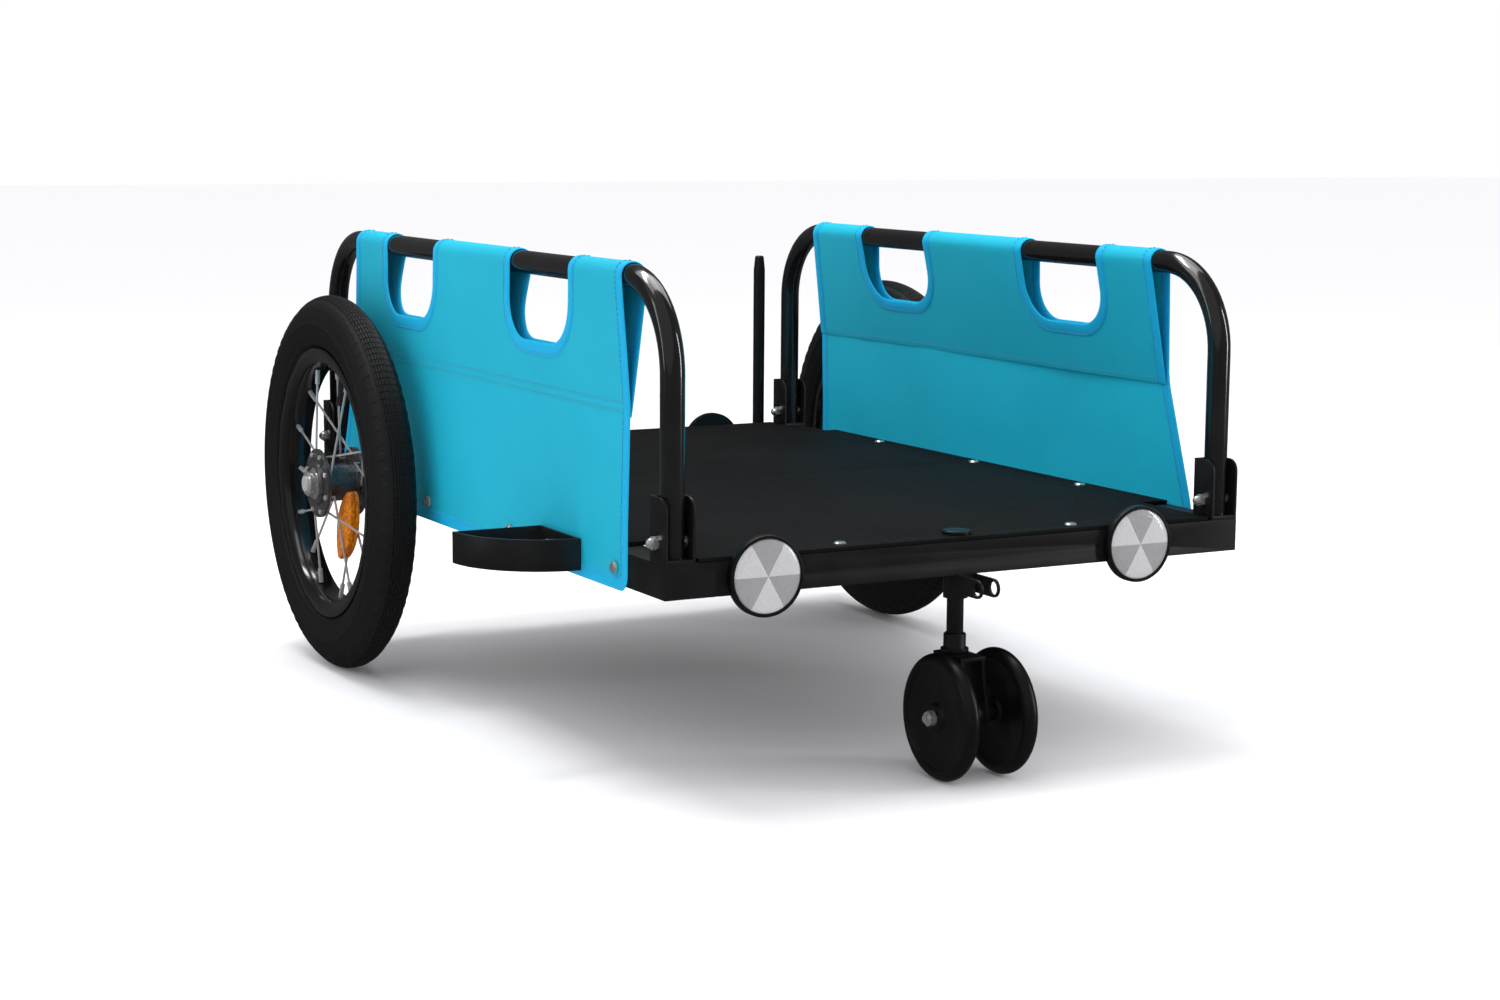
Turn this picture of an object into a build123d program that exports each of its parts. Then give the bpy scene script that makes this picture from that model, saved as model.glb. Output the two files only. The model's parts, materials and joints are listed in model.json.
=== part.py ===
from build123d import *
import math
import os

# Flatbed cart: steel deck frame on two spoked wheels, with a swivelling twin caster at the front.
# Millimetres. +Z up, X across the cart, -Y towards the hitch. The ground is Z = 0.

# ---- driving sizes -------------------------------------------------------------------------
deck_width = 482.0            # across the side rails, outer faces
deck_length = 682.0           # front rail face to rear rail face
rail_top = 170.5              # top of the rails above the ground
rail_height = 24.0
rail_width = 25.0
rail_wall = 1.5
board_thickness = 3.0
board_setback = 1.0           # board edge inside the rail's outer face
notch_across = 26.0           # corner notch of the board, along X
notch_along = 84.0            # corner notch of the board, along Y
middle_beam_place = -60.0     # second cross beam, measured from the deck's middle
deck_screw_size = 4.0
deck_screw_head = 9.0

tube_diameter = 17.2          # hoop tube
tube_wall = 1.5
hoop_top = 360.0              # centre of the hoop's top bar above the ground
hoop_bend_radius = 64.0       # to the tube's centre line
bracket_width = 23.2
bracket_depth = 23.0
bracket_height = 45.0
bracket_plate = 2.0
bracket_base = 3.0
bracket_corner = 9.0          # rounding of the front top corners
hoop_bolt_size = 5.0
hoop_bolt_height = 14.0       # above the rail top

fabric = 1.2                  # doubled woven cloth
fabric_gap = 0.3
panel_bottom = 143.0
panel_half_length = 285.0
panel_straight_end = 254.0    # the end that is straight above the seam and slants out below it
panel_slanted_end = 267.0     # the other end, at the bar: it slants out above the seam
seam_height = 270.0           # where the turned-over layer is sewn down
cutout_near = 76.0            # hand cut-out, from the panel's middle
cutout_far = 182.0
cutout_bottom = 304.0
cutout_corner = 32.0
panel_bolt_size = 5.0
panel_bolt_head = 9.0
panel_bolt_places = (-267.0, -83.0, 83.0, 267.0)

wheel_radius = 158.5
wheel_track = 544.0           # between the two wheels' middle planes
axle_setback = 221.0          # axle behind the deck's middle
tyre_width = 38.0
tyre_wall = 3.6
tube_rubber = 1.5             # wall of the inner tube
valve_angle = 11.25           # valve stem from straight up, between two spokes
rim_radius = 114.0
rim_width = 28.0
rim_bed_radius = 100.5
spoke_pairs = 8               # spokes on each flange
spoke_size = 2.0
spoke_circle = 24.8
nipple_size = 4.0
nipple_length = 12.0
spoke_reflector_forward = 27.0
spoke_reflector_below = 33.5
spoke_reflector_lean = 24.0
spoke_reflector_length = 70.0
spoke_reflector_width = 30.0
spoke_reflector_depth = 9.6
flange_radius = 29.0
flange_offset = 16.0          # flange middle from the wheel's middle plane
flange_thickness = 3.0
hub_half_length = 21.0
hub_barrel_radius = 16.0
bearing_outer = 28.0
bearing_width = 8.0
axle_size = 12.0
fit = 0.05                    # radial running clearance
release_rod = 5.0
button_size = 13.4
button_travel = 3.0
receiver_size = 20.0
receiver_inner_end = 52.0     # how far the receiver reaches in from the rail's outer face

guard_radius = 70.0
guard_plate = 2.0
guard_rear = 141.0            # rear side of the guard, ahead of the deck's middle
guard_drop = 1.0              # below the rail top at the upper edge

reflector_size = 57.0
reflector_depth = 6.0
reflector_lip = 2.5
reflector_front_spread = 313.0
reflector_front_offset = -9.0
reflector_rear_spread = 302.0
reflector_rear_height = 156.5

stem_setback = 15.0           # caster stem behind the front rail's face
stem_size = 12.2
stem_wall = 2.0
cap_size = 21.0
cap_height = 3.0
socket_size = 18.0
socket_length = 19.0
housing_size = 16.3
housing_length = 11.0
collar_size = 20.4
collar_length = 3.0
kingpin_size = 8.0
kingpin_head = 2.5
caster_radius = 46.0
caster_width = 12.0
caster_spread = 48.6          # between the two caster wheels' middle planes
caster_lead = 21.6            # caster axle ahead of the stem
yoke_plate = 3.0
yoke_half_width = 10.5
yoke_top = 87.5
caster_axle_size = 6.0

clevis_plate = 2.0
clevis_gap = 12.0             # clear width between the ears
clevis_height = 13.4
clevis_reach = 24.0           # bore centre ahead of the front rail's face
clevis_bore = 9.6

mast_size = 11.0
mast_across = 205.0
mast_top = 335.0
mast_bottom = 128.0
mast_gap = 1.6
clip_height = 10.0
clip_wall = 1.6

# ---- derived places ------------------------------------------------------------------------
front_reach = deck_length / 2 - stem_setback + caster_lead + caster_radius
rear_reach = axle_setback + wheel_radius
deck_y = (front_reach - rear_reach) / 2     # puts the origin under the middle of the whole cart
front_y = deck_y - deck_length / 2
rear_y = deck_y + deck_length / 2
side_x = deck_width / 2
rail_bottom = rail_top - rail_height
rail_mid = rail_top - rail_height / 2
board_top = rail_top + board_thickness
axle_y = deck_y + axle_setback
axle_z = wheel_radius
wheel_x = wheel_track / 2
leg_x = side_x - bracket_width / 2
tube_r = tube_diameter / 2
front_leg_y = front_y + bracket_depth - bracket_plate - tube_r
rear_leg_y = rear_y - bracket_plate - tube_r
stem_y = front_y + stem_setback
caster_y = stem_y - caster_lead
tooth = 0.3                   # clearance between parts that only lie side by side

os.makedirs("parts", exist_ok=True)


def save(name, solids):
    if not isinstance(solids, list):
        solids = [solids]
    pieces = []
    for item in solids:
        pieces.extend(item.solids())
    shape = pieces[0] if len(pieces) == 1 else Compound(children=pieces)
    export_step(shape, f"parts/{name}.step")


def block(x0, x1, y0, y1, z0, z1):
    size = (x1 - x0, y1 - y0, z1 - z0)
    return Pos((x0 + x1) / 2, (y0 + y1) / 2, (z0 + z1) / 2) * Box(*size)


def rod_x(x0, x1, y, z, radius):
    return Pos((x0 + x1) / 2, y, z) * Rot(0, 90, 0) * Cylinder(radius, abs(x1 - x0))


def rod_y(x, y0, y1, z, radius):
    return Pos(x, (y0 + y1) / 2, z) * Rot(90, 0, 0) * Cylinder(radius, abs(y1 - y0))


def rod_z(x, y, z0, z1, radius):
    return Pos(x, y, (z0 + z1) / 2) * Cylinder(radius, abs(z1 - z0))


def hexagon_x(x0, x1, y, z, across):
    prism = extrude(RegularPolygon(across / 2, 6, major_radius=False), abs(x1 - x0))
    return Pos(min(x0, x1), y, z) * Rot(0, 90, 0) * prism


def prism_z(points, z0, z1):
    face = make_face(Polyline(*points, close=True))
    return Pos(0, 0, z0) * extrude(face, z1 - z0)


def mirror_x(shape):
    return mirror(shape, about=Plane.YZ)


def one_solid(shape):
    return max(shape.solids(), key=lambda item: item.volume)


# ---- frame ---------------------------------------------------------------------------------
def mitred_rail(length, inset):
    """Trapezium of one rail about its own middle: outer face at 0, running inwards to +Y."""
    half = length / 2
    return [(-half + inset, inset), (half - inset, inset),
            (half - rail_width + inset, rail_width - inset), (-half + rail_width - inset, rail_width - inset)]


def rail(length):
    outer = prism_z(mitred_rail(length, 0), rail_bottom, rail_top)
    # the bore runs out through both mitre faces
    half = length / 2
    inner = [(-half + rail_wall, rail_wall), (half - rail_wall, rail_wall),
             (half - rail_width + rail_wall, rail_width - rail_wall),
             (-half + rail_width - rail_wall, rail_width - rail_wall)]
    return outer - prism_z(inner, rail_bottom + rail_wall, rail_top - rail_wall)


def deck_screw_places():
    edge = rail_width / 2 + 0.5
    places = [(x, front_y + edge) for x in (-98, 98)] + [(x, rear_y - edge) for x in (-98, 98)]
    places += [(side * (side_x - edge), deck_y + y) for side in (-1, 1) for y in (-157, 0, 157)]
    return places


def reflector_places():
    front = [(reflector_front_offset + side * reflector_front_spread / 2, front_y, rail_mid, -1)
             for side in (-1, 1)]
    rear = [(side * reflector_rear_spread / 2, rear_y, reflector_rear_height, 1) for side in (-1, 1)]
    return front + rear


def frame_parts():
    front = Pos(0, front_y, 0) * rail(deck_width)
    rear = Pos(0, rear_y, 0) * Rot(0, 0, 180) * rail(deck_width)
    left = Pos(-side_x, deck_y, 0) * Rot(0, 0, -90) * rail(deck_length)
    right = Pos(side_x, deck_y, 0) * Rot(0, 0, 90) * rail(deck_length)
    beam_end = side_x - rail_width
    half = rail_height / 2
    bore = half - rail_wall
    for name, y in (("axle_beam", axle_y), ("middle_beam", deck_y + middle_beam_place)):
        beam = block(-beam_end, beam_end, y - half, y + half, rail_bottom, rail_top)
        beam -= block(-beam_end, beam_end, y - bore, y + bore, rail_bottom + rail_wall, rail_top - rail_wall)
        save(name, beam)
    cuts = []
    for x, y in deck_screw_places():
        cuts.append(rod_z(x, y, rail_top - rail_wall - 1, rail_top + 1, deck_screw_size / 2 + fit))
    cuts.append(rod_z(0, stem_y, rail_bottom - 1, rail_top + 1, stem_size / 2 + 0.2))
    for x, y, z, way in reflector_places():
        cuts.append(rod_y(x, y - 5, y + 5, z, 2.0 + fit))
    for side in (-1, 1):
        cuts.append(rod_x(side * (side_x + 1), side * (beam_end - 1), axle_y, axle_z, receiver_size / 2 + fit))
        for y in panel_bolt_places:
            cuts.append(rod_x(side * (side_x + 1), side * (side_x - 3), deck_y + y, rail_mid,
                              panel_bolt_size / 2 + fit))
        for y in guard_bolt_places():
            cuts.append(rod_x(side * (side_x + 1), side * (side_x - 3), y, rail_mid, panel_bolt_size / 2 + fit))
    save("front_rail", front - cuts)
    save("rear_rail", rear - cuts)
    save("left_rail", left - cuts)
    save("right_rail", right - cuts)


def deck_board():
    half_x = side_x - board_setback
    half_y = deck_length / 2 - board_setback
    board = block(-half_x, half_x, deck_y - half_y, deck_y + half_y, rail_top, board_top)
    for side in (-1, 1):
        for way in (-1, 1):
            x0 = side * (side_x + 1)
            x1 = side * (side_x - notch_across)
            y0 = deck_y + way * (deck_length / 2 + 1)
            y1 = deck_y + way * (deck_length / 2 - notch_along)
            board -= block(min(x0, x1), max(x0, x1), min(y0, y1), max(y0, y1), rail_top - 1, board_top + 1)
    board -= rod_z(0, stem_y, rail_top - 1, board_top + 1, stem_size / 2 + 0.2)
    for x, y in deck_screw_places():
        board -= rod_z(x, y, rail_top - 1, board_top + 1, deck_screw_size / 2 + fit)
    save("deck_board", board)


def deck_screws():
    screws = []
    for x, y in deck_screw_places():
        shank = rod_z(x, y, rail_top - 10, board_top, deck_screw_size / 2)
        head = Pos(x, y, board_top + 0.8) * Cylinder(deck_screw_head / 2, 1.6)
        head = chamfer(head.edges().group_by(Axis.Z)[-1], 0.9)
        head -= Pos(x, y, board_top + 1.2) * Box(4.6, 0.9, 0.9)
        head -= Pos(x, y, board_top + 1.2) * Box(0.9, 4.6, 0.9)
        screws.append(shank + head)
    save("deck_screws", screws)


# ---- hoops and their brackets --------------------------------------------------------------
def bracket(side, web_back):
    """Channel bracket, open to the front, its outer flange in line with the rail's outer face."""
    x0 = leg_x - bracket_width / 2
    x1 = leg_x + bracket_width / 2
    y1 = web_back
    y0 = web_back - bracket_depth
    top = rail_top + bracket_height
    body = block(x0, x1, y0, y1, rail_top, top)
    front_top = [edge for edge in body.edges().filter_by(Axis.X)
                 if edge.center().Z > top - 1 and edge.center().Y < y0 + 1]
    body = fillet(front_top, bracket_corner)
    body -= block(x0 + bracket_plate, x1 - bracket_plate, y0 - 1, y1 - bracket_plate,
                  rail_top + bracket_base, top + 1)
    leg_y = web_back - bracket_plate - tube_r
    body -= rod_x(x0 - 1, x1 + 1, leg_y, rail_top + hoop_bolt_height, hoop_bolt_size / 2 + fit)
    return body if side > 0 else mirror_x(body)


def brackets():
    save("front_left_bracket", bracket(-1, front_y + bracket_depth))
    save("front_right_bracket", bracket(1, front_y + bracket_depth))
    save("rear_left_bracket", bracket(-1, rear_y))
    save("rear_right_bracket", bracket(1, rear_y))


def hoop():
    foot = rail_top + bracket_base
    path = FilletPolyline((leg_x, front_leg_y, foot), (leg_x, front_leg_y, hoop_top),
                          (leg_x, rear_leg_y, hoop_top), (leg_x, rear_leg_y, foot), radius=hoop_bend_radius)
    section = Plane(origin=(leg_x, front_leg_y, foot), z_dir=(0, 0, 1)) * Circle(tube_r)
    bore = Plane(origin=(leg_x, front_leg_y, foot), z_dir=(0, 0, 1)) * Circle(tube_r - tube_wall)
    tube = sweep(section, path=path) - sweep(bore, path=path)
    for y in (front_leg_y, rear_leg_y):
        tube -= rod_x(leg_x - 12, leg_x + 12, y, rail_top + hoop_bolt_height, hoop_bolt_size / 2 + fit)
    return tube


def hoops():
    right = hoop()
    save("right_hoop", right)
    save("left_hoop", mirror_x(right))


def hoop_fasteners():
    """Bolts run across the cart; each nut is on the cart's left face of its bracket."""
    bolts = []
    nuts = []
    z = rail_top + hoop_bolt_height
    half = bracket_width / 2
    gap = (bracket_width - 2 * bracket_plate - tube_diameter) / 2
    for side in (-1, 1):
        x = side * leg_x
        for y in (front_leg_y, rear_leg_y):
            shank = rod_x(x - half - 6.0, x + half, y, z, hoop_bolt_size / 2)
            head = Pos(x + half + 1.5, y, z) * Rot(0, 90, 0) * Cylinder(4.5, 3.0)
            head = chamfer(head.edges().group_by(Axis.X)[-1], 1.2)
            bolts.append(shank + head)
            for way in (-1, 1):
                x_in = x + way * (tube_r + 0.1)
                x_out = x + way * (tube_r + gap - 0.1)
                washer = rod_x(min(x_in, x_out), max(x_in, x_out), y, z, 4.0)
                bolts.append(washer - rod_x(x - half, x + half, y, z, hoop_bolt_size / 2 + fit))
            nut = hexagon_x(x - half - 4.5, x - half, y, z, 8.0)
            cap = Pos(x - half - 4.5, y, z) * Sphere(3.6)
            cap -= block(x - half - 4.5, x + half, y - 6, y + 6, z - 6, z + 6)
            nut = nut + cap
            nuts.append(nut - rod_x(x - half - 6.2, x - half + 1, y, z, hoop_bolt_size / 2 + fit))
    save("hoop_bolts", bolts)
    save("hoop_nuts", nuts)


# ---- cloth side panels ---------------------------------------------------------------------
def panel(slanted_end):
    """Right panel: one layer outside the rail, turned over the hoop's bar and sewn down at the seam.

    slanted_end is -1 where the end that slants above the seam is at the front, and 1 where it is at the rear."""
    sheet_in = side_x + fabric_gap
    sheet_out = sheet_in + fabric
    wrap = tube_r + fabric_gap
    wrap_out = wrap + fabric
    top = hoop_top
    seam = seam_height
    outer = make_face([
        Line((sheet_in, panel_bottom), (sheet_out, panel_bottom)),
        Line((sheet_out, panel_bottom), (sheet_out, rail_top + 10)),
        Line((sheet_out, rail_top + 10), (leg_x + wrap_out, top)),
        ThreePointArc((leg_x + wrap_out, top), (leg_x, top + wrap_out), (leg_x - wrap_out, top)),
        Line((leg_x - wrap_out, top), (sheet_in - fabric, seam)),
        Line((sheet_in - fabric, seam), (sheet_in, rail_top + 10)),
        Line((sheet_in, rail_top + 10), (sheet_in, panel_bottom)),
    ])
    hollow = make_face([
        Line((sheet_in - 0.4, seam + 6), (leg_x + wrap, top)),
        ThreePointArc((leg_x + wrap, top), (leg_x, top + wrap), (leg_x - wrap, top)),
        Line((leg_x - wrap, top), (sheet_in - 0.4, seam + 6)),
    ])
    length = 2 * panel_half_length
    body = Plane.XZ * extrude(outer - hollow, length)
    body = Pos(0, deck_y + length / 2, 0) * body
    low = panel_half_length
    points = [(-low, panel_bottom), (low, panel_bottom), (low, rail_top), (panel_straight_end, seam),
              (panel_straight_end, top + 12), (-panel_slanted_end, top + 12), (-low, seam)]
    points = [(-slanted_end * y, z) for y, z in points]
    outline = make_face(Polyline(*points, close=True))
    lower_corners = [v for v in outline.vertices() if v.Y < panel_bottom + 1]
    outline = fillet(lower_corners, 12)
    side_view = Pos(side_x, deck_y, 0) * (Plane.YZ * extrude(outline, 60, both=True))
    body = body & side_view
    for way in (-1, 1):
        y0, y1 = sorted((way * cutout_near, way * cutout_far))
        hole = make_face(Polyline((y0, cutout_bottom), (y1, cutout_bottom), (y1, top + 30), (y0, top + 30),
                                  close=True))
        corners = [v for v in hole.vertices() if v.Y < cutout_bottom + 1]
        hole = fillet(corners, cutout_corner)
        body -= Pos(side_x, deck_y, 0) * (Plane.YZ * extrude(hole, 60, both=True))
    body -= rod_x(side_x - 3, side_x + 5, axle_y, axle_z, receiver_size / 2 + 1.0)
    for y in panel_bolt_places:
        body -= rod_x(side_x - 3, side_x + 5, deck_y + y, rail_mid, panel_bolt_size / 2 + fabric_gap)
    for y in guard_bolt_places():
        body -= rod_x(side_x - 3, side_x + 5, y, rail_mid, panel_bolt_size / 2 + fabric_gap)
    return one_solid(body)


def panels():
    save("right_panel", panel(1))
    save("left_panel", mirror_x(panel(-1)))


def guard_bolt_places():
    return [deck_y - guard_rear - offset for offset in (18.0, 46.0)]


def side_bolt(side, x_face, y):
    shank = rod_x(side * (side_x - 8), side * x_face, y, rail_mid, panel_bolt_size / 2)
    head = Pos(side * (x_face + 1.3), y, rail_mid) * Rot(0, 90, 0) * Cylinder(panel_bolt_head / 2, 2.6)
    outer = head.edges().group_by(Axis.X)[-1 if side > 0 else 0]
    head = chamfer(outer, 1.1)
    head -= hexagon_x(side * (x_face + 1.0), side * (x_face + 3.0), y, rail_mid, 3.0)
    return shank + head


def panel_bolts():
    bolts = []
    cloth_face = side_x + 2 * fabric_gap + fabric
    guard_face = cloth_face + guard_plate
    for side in (-1, 1):
        for y in panel_bolt_places:
            bolts.append(side_bolt(side, cloth_face, deck_y + y))
        for y in guard_bolt_places():
            bolts.append(side_bolt(side, guard_face, y))
    save("panel_bolts", bolts)


# ---- wheel guards --------------------------------------------------------------------------
def guard():
    """Flat strip bent into a quarter round, ahead of the right wheel and open at top and bottom."""
    x0 = side_x + 2 * fabric_gap + fabric
    y1 = deck_y - guard_rear
    z0 = rail_bottom + guard_drop
    z1 = rail_top
    quarter = make_face([
        Line((x0, y1), (x0, y1 - guard_radius)),
        ThreePointArc((x0, y1 - guard_radius),
                      (x0 + guard_radius * math.sin(math.pi / 4), y1 - guard_radius * math.cos(math.pi / 4)),
                      (x0 + guard_radius, y1)),
        Line((x0 + guard_radius, y1), (x0, y1)),
    ])
    inner_radius = guard_radius - guard_plate
    cx = x0 + guard_plate
    cy = y1 - guard_plate
    reach = math.sqrt(inner_radius ** 2 - guard_plate ** 2)
    middle = inner_radius * math.sin(math.pi / 4)
    hollow = make_face([
        Line((cx, cy), (cx, y1 - reach)),
        ThreePointArc((cx, y1 - reach), (x0 + middle, y1 - middle), (x0 + reach, cy)),
        Line((x0 + reach, cy), (cx, cy)),
    ])
    body = Pos(0, 0, z0) * extrude(quarter - hollow, z1 - z0)
    for y in guard_bolt_places():
        body -= rod_x(x0 - 1, x0 + guard_plate + 1, y, rail_mid, panel_bolt_size / 2 + fit)
    return body


def guards():
    right = guard()
    save("right_wheel_guard", right)
    save("left_wheel_guard", mirror_x(right))


# ---- spoked wheels -------------------------------------------------------------------------
def ring(points, x_middle, arcs=()):
    """Revolve a closed outline of (offset along X, radius) points about the wheel's axle."""
    edges = []
    count = len(points)
    for i in range(count):
        start = points[i]
        end = points[(i + 1) % count]
        if i in dict(arcs):
            edges.append(ThreePointArc(start, dict(arcs)[i], end))
        else:
            edges.append(Line(start, end))
    face = make_face(edges)
    body = revolve(face, Axis((0, 0, 0), (1, 0, 0)), 360)
    return Pos(x_middle, axle_y, axle_z) * body


def tyre_outline(inset, foot):
    """Cross-section of the tyre, moved inwards by inset, closed by a flat foot."""
    crown = wheel_radius - inset
    wide = tyre_width / 2 - inset
    neck = rim_width / 2 - 3.0 - inset
    shoulder = (tyre_width / 2 * 0.74 - inset, wheel_radius - 6.0 - inset)
    belly = (wide, 134.0)
    start = (neck, rim_radius + 1.0)
    points = [(-neck, foot), (neck, foot), start, shoulder, (-shoulder[0], shoulder[1]), (-start[0], start[1])]
    arcs = [(2, belly), (3, (0, crown)), (4, (-belly[0], belly[1]))]
    return points, arcs


bead_radius = 107.5
well_radius = 105.5


def tyre(x):
    points, arcs = tyre_outline(0, bead_radius)
    body = ring(points, x, arcs)
    points, arcs = tyre_outline(tyre_wall, bead_radius - 1)
    return one_solid(body - ring(points, x, arcs))


def inner_tube(x):
    gap = 0.3
    points, arcs = tyre_outline(tyre_wall + gap, bead_radius)
    body = ring(points, x, arcs)
    points, arcs = tyre_outline(tyre_wall + gap + tube_rubber, bead_radius + tube_rubber)
    body = one_solid(body - ring(points, x, arcs))
    low = rim_bed_radius - 26.0
    high = bead_radius + 2.0
    stem = Pos(0, 0, (low + high) / 2) * Cylinder(3.0, high - low)
    stem += Pos(0, 0, low - 3) * Cylinder(4.0, 6.0)
    return body + Pos(x, axle_y, axle_z) * Rot(valve_angle, 0, 0) * stem


def rim(x):
    half = rim_width / 2
    lip = half - 2.7
    bed = rim_bed_radius
    points = [(-half, rim_radius), (-lip, rim_radius), (-lip, bead_radius - 0.3), (-lip + 4, well_radius),
              (lip - 4, well_radius), (lip, bead_radius - 0.3), (lip, rim_radius), (half, rim_radius),
              (half, bed + 6.5), (half - 2.5, bed + 1.5), (half - 7, bed), (-half + 7, bed),
              (-half + 2.5, bed + 1.5), (-half, bed + 6.5)]
    body = ring(points, x)
    hole = Pos(0, 0, rim_bed_radius + 5) * Cylinder(3.4, 24)
    return body - Pos(x, axle_y, axle_z) * Rot(valve_angle, 0, 0) * hole


def wheel_point(offset, radius, angle):
    """Point of the wheel: offset along X, then radius at an angle from the front (-Y), rising to +Z."""
    turn = math.radians(angle)
    return Vector(offset, -radius * math.cos(turn), radius * math.sin(turn))


def spokes(x, outward):
    """One-cross lacing: each flange's spokes lean alternately forwards and back."""
    pieces = []
    step = 360 / spoke_pairs
    flange_in = flange_offset - flange_thickness / 2
    flange_out = flange_offset + flange_thickness / 2
    for flange in (-1, 1):
        phase = step / 2 if flange == outward else 0
        for k in range(spoke_pairs):
            lean = 1 if k % 2 == 0 else -1
            inside = 1.3 if lean > 0 else 4.3
            hub_angle = phase + k * step
            rim_angle = hub_angle + lean * step
            bend = wheel_point(flange * (flange_in - inside), spoke_circle, hub_angle)
            head = wheel_point(flange * (flange_out + 1.2), spoke_circle, hub_angle)
            seat = wheel_point(flange * 2.0, rim_bed_radius - 0.9, rim_angle)
            way = (seat - bend).normalized()
            run = (seat - bend).length
            wire = Plane(origin=bend, z_dir=way) * Pos(0, 0, run / 2 - 1) * Cylinder(spoke_size / 2, run - 2)
            pin = rod_x(head.X, bend.X, head.Y, head.Z, spoke_size / 2)
            knuckle = Pos(bend.X, bend.Y, bend.Z) * Sphere(spoke_size / 2)
            cap = Pos(head.X, head.Y, head.Z) * Rot(0, 90, 0) * Cylinder(2.0, 1.6)
            cap = Pos(flange * -0.3, 0, 0) * cap
            nipple_start = seat - way * nipple_length
            nipple = Plane(origin=nipple_start, z_dir=way) * Pos(0, 0, nipple_length / 2)
            nipple = nipple * Cylinder(nipple_size / 2, nipple_length)
            pieces.append(Pos(x, axle_y, axle_z) * one_solid(wire + pin + knuckle + cap + nipple))
    return pieces


def hub_shell(x):
    seat = bearing_outer / 2 + fit
    inner = hub_half_length - bearing_width - 1.0
    f0 = flange_offset - flange_thickness / 2
    f1 = flange_offset + flange_thickness / 2
    boss = bearing_outer / 2 + 4.5
    points = [(-hub_half_length, seat), (-inner, seat), (-inner, seat - 4), (inner, seat - 4), (inner, seat),
              (hub_half_length, seat), (hub_half_length, boss - 1.5), (hub_half_length - 1.5, boss), (f1, boss),
              (f1, flange_radius), (f0, flange_radius), (f0, hub_barrel_radius + 2),
              (f0 - 2, hub_barrel_radius), (-f0 + 2, hub_barrel_radius), (-f0, hub_barrel_radius + 2),
              (-f0, flange_radius), (-f1, flange_radius), (-f1, boss), (-hub_half_length + 1.5, boss),
              (-hub_half_length, boss - 1.5)]
    body = ring(points, x)
    outward = 1 if x > 0 else -1
    step = 360 / spoke_pairs
    for flange in (-1, 1):
        phase = step / 2 if flange == outward else 0
        for k in range(spoke_pairs):
            spot = wheel_point(0, spoke_circle, phase + k * step)
            x0 = x + flange * (f0 - 1)
            x1 = x + flange * (f1 + 1)
            body -= rod_x(min(x0, x1), max(x0, x1), axle_y + spot.Y, axle_z + spot.Z, spoke_size / 2 + 0.2)
    return body


def hub_bearings(x):
    pieces = []
    for way in (-1, 1):
        x0 = x + way * (hub_half_length - 1.0 - bearing_width)
        x1 = x + way * (hub_half_length - 1.0)
        body = rod_x(min(x0, x1), max(x0, x1), axle_y, axle_z, bearing_outer / 2)
        pieces.append(body - rod_x(min(x0, x1) - 1, max(x0, x1) + 1, axle_y, axle_z, axle_size / 2 + fit))
    return pieces


def wheel_reflector(x):
    """Leaf-shaped spoke reflector: two rounded shells clipped together, with a groove where they meet."""
    half_length = spoke_reflector_length / 2
    half_width = spoke_reflector_width / 2
    leaf = make_face(ThreePointArc((0, -half_length), (half_width, 0), (0, half_length))
                     + ThreePointArc((0, half_length), (-half_width, 0), (0, -half_length)))
    leaf = fillet(leaf.vertices(), 5.0)
    shells = extrude(leaf, spoke_reflector_depth / 2, both=True)
    faces = shells.faces().sort_by(Axis.Z)
    shells = fillet(faces[0].edges() + faces[-1].edges(), 2.4)
    groove = extrude(offset(leaf, 3.0), 0.6, both=True) - extrude(offset(leaf, -1.6), 0.6, both=True)
    shells -= groove
    upright = Plane.YZ * (Rot(0, 0, spoke_reflector_lean) * shells)
    return Pos(x, axle_y - spoke_reflector_forward, axle_z - spoke_reflector_below) * upright


def axle(side):
    """Quick-release axle: shaft into the receiver, shoulder, hub and an outer head round the button."""
    x_hub = wheel_x
    inner_end = side_x - receiver_inner_end + 3.0
    race = hub_half_length - 1.0
    head0 = x_hub + race + 0.05
    head1 = head0 + 7.0
    shoulder0 = side_x + 4.1
    shoulder1 = x_hub - race - 0.05
    shaft = rod_x(inner_end, head0 + 1, axle_y, axle_z, axle_size / 2)
    shaft += rod_x(shoulder0, shoulder1, axle_y, axle_z, axle_size / 2 + 2.5)
    head = Pos((head0 + head1) / 2, axle_y, axle_z) * Rot(0, 90, 0) * Cylinder(10.5, head1 - head0)
    head = chamfer(head.edges().group_by(Axis.X)[-1], 1.0)
    shaft += head
    shaft -= rod_x(head1 - 5.0, head1 + 1, axle_y, axle_z, button_size / 2 + 0.15)
    shaft -= rod_x(inner_end + 3.0, head1, axle_y, axle_z, release_rod / 2 + 0.1)
    ball_x = inner_end + 9.0
    shaft -= Pos(ball_x, axle_y, axle_z) * Cylinder(2.1, 30)
    return shaft if side > 0 else mirror_x(shaft)


def release_button(side):
    head1 = wheel_x + hub_half_length - 1.0 + 0.05 + 7.0
    inner_end = side_x - receiver_inner_end + 3.0
    cap0 = head1 - 5.0 + button_travel + 0.4
    cap1 = head1 + 1.8
    cap = Pos((cap0 + cap1) / 2, axle_y, axle_z) * Rot(0, 90, 0) * Cylinder(button_size / 2, cap1 - cap0)
    cap = fillet(cap.edges().group_by(Axis.X)[-1], 0.8)
    rod = rod_x(inner_end + 6.5, cap0, axle_y, axle_z, release_rod / 2)
    body = cap + rod
    ball_x = inner_end + 9.0
    waist = rod_x(ball_x + 2.0, ball_x + 2.0 + button_travel + 5.0, axle_y, axle_z, 4)
    waist -= rod_x(ball_x + 1.0, ball_x + 11.0, axle_y, axle_z, 1.6)
    body -= waist
    body = one_solid(body)
    return body if side > 0 else mirror_x(body)


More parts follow.
